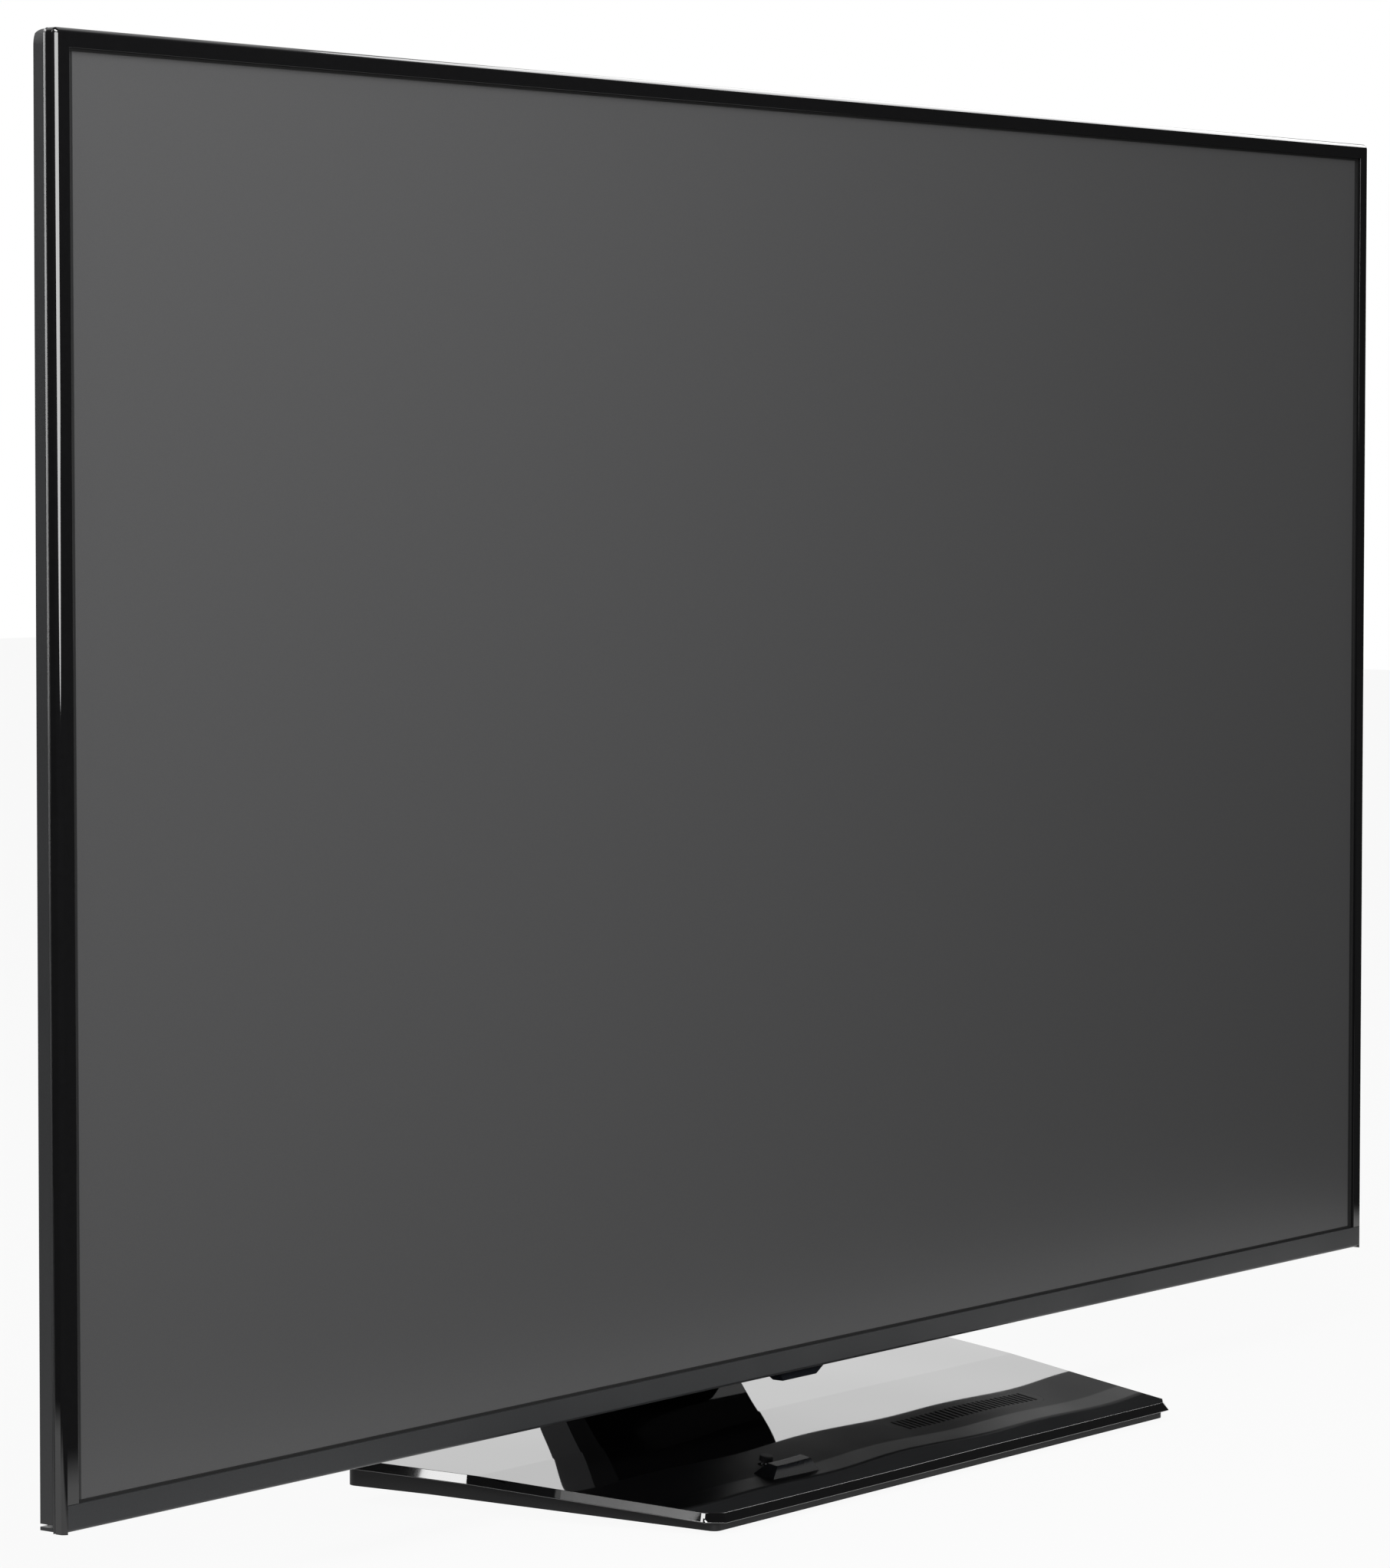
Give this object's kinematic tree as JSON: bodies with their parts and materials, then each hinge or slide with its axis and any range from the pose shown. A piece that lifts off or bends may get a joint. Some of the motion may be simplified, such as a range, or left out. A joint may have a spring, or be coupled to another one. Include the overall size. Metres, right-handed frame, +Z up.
{
  "type": "flat-panel display on a table stand",
  "caption": "Large flat-panel display: thin gloss frame, matte screen, moulded back with socket bay, slanted neck on a bevelled trapezoid base.",
  "frame": {"origin": "middle of the footprint's bounding box, on the table under the rubber feet", "axes": "+X to the viewer's right along the screen, +Y away from the viewer into the display, +Z up"},
  "size_m": [1.388, 0.281, 0.87],
  "materials": {
    "gloss_black": "piano-black gloss",
    "satin_grey": "satin dark grey, fine spark texture",
    "foam_black": "matte closed-cell foam",
    "screen": "anti-glare polariser, fine even grain",
    "black_plastic": "fine moulded texture",
    "circuit_board": "green solder mask",
    "white_film": "diffuse white",
    "zinc_steel": "galvanised sheet",
    "white_board": "white solder mask",
    "clear_lens": "clear acrylic",
    "rear_plastic": "matte dark grey, spark-eroded grain",
    "black_screw": "black zinc",
    "ferrite": "sintered ferrite and tape",
    "capacitor_sleeve": "shrink sleeve",
    "bare_aluminium": "extruded",
    "socket_shell": "tinned steel",
    "cable_film": "flat film cable",
    "wire_black": "sleeved wires",
    "speaker_paper": "treated paper",
    "smoked_lens": "dark translucent gloss",
    "spring_steel": "bright wire",
    "tray_plastic": "matte dark grey",
    "neck_plastic": "fine matte grain",
    "foot_rubber": "moulded rubber"
  },
  "bodies": {
    "display": {"ac_inlet": "black_plastic", "antenna_socket": "socket_shell", "back_chassis": "zinc_steel", "base_cover": "gloss_black", "base_screws": "black_screw", "base_tray": "tray_plastic", "board_screws": "black_screw", "board_standoffs": "zinc_steel", "bottom_bezel_strip": "satin_grey", "control_board": "circuit_board", "control_lens": "smoked_lens", "diffuser_plate": "white_film", "diffuser_posts": "white_film", "front_frame": "gloss_black", "heat_sinks": "bare_aluminium", "infrared_receiver": "circuit_board", "lcd_cell": "screen", "led_lenses": "clear_lens", "led_strips": "white_board", "left_speaker_box": "black_plastic", "main_board": "circuit_board", "main_flat_cable": "cable_film", "middle_frame": "black_plastic", "neck_bolts": "black_screw", "neck_core": "zinc_steel", "neck_front_cover": "gloss_black", "neck_rear_cover": "neck_plastic", "network_socket": "socket_shell", "optical_socket": "black_plastic", "panel_flat_cables": "cable_film", "power_board": "circuit_board", "power_capacitors": "capacitor_sleeve", "power_harness": "wire_black", "power_transformers": "ferrite", "prism_sheet": "white_film", "rear_cover": "rear_plastic", "rear_cover_screws": "black_screw", "reflector_sheet": "white_film", "right_speaker_box": "black_plastic", "rubber_feet": "foot_rubber", "screen_gasket": "foam_black", "source_boards": "circuit_board", "speaker_cones": "speaker_paper", "speaker_drivers": "ferrite", "speaker_gaskets": "foam_black", "speaker_grilles": "black_plastic", "stand_bracket": "zinc_steel", "steel_plate": "zinc_steel", "stick_housing": "black_plastic", "terminal_panel": "black_plastic", "timing_board": "circuit_board", "timing_shield": "zinc_steel", "usb_sockets": "socket_shell", "video_sockets": "socket_shell", "wall_mount_inserts": "zinc_steel", "wifi_module": "circuit_board"},
    "side_ring": {"stick_ring": "black_plastic"},
    "tilt_hub": {"stick_hub": "black_plastic"},
    "knob": {"stick_knob": "gloss_black", "stick_spring": "spring_steel"}
  },
  "joints": [
    {"name": "stick_side_tilt", "type": "hinge", "parent": "display", "child": "side_ring", "pos_m": [0, 0.0065, 0.065], "axis": [0, 1, 0], "range_deg": [-8, 8], "stiffness_Nm_per_rad": 0.05},
    {"name": "stick_fore_tilt", "type": "hinge", "parent": "side_ring", "child": "tilt_hub", "pos_m": [0, 0.0065, 0.065], "axis": [1, 0, 0], "range_deg": [-8, 8], "stiffness_Nm_per_rad": 0.05},
    {"name": "stick_press", "type": "slide", "parent": "tilt_hub", "child": "knob", "axis": [0, 0, 1], "range_m": [0, 0.001], "stiffness_N_per_m": 600, "deforming": ["stick_spring"]}
  ]
}
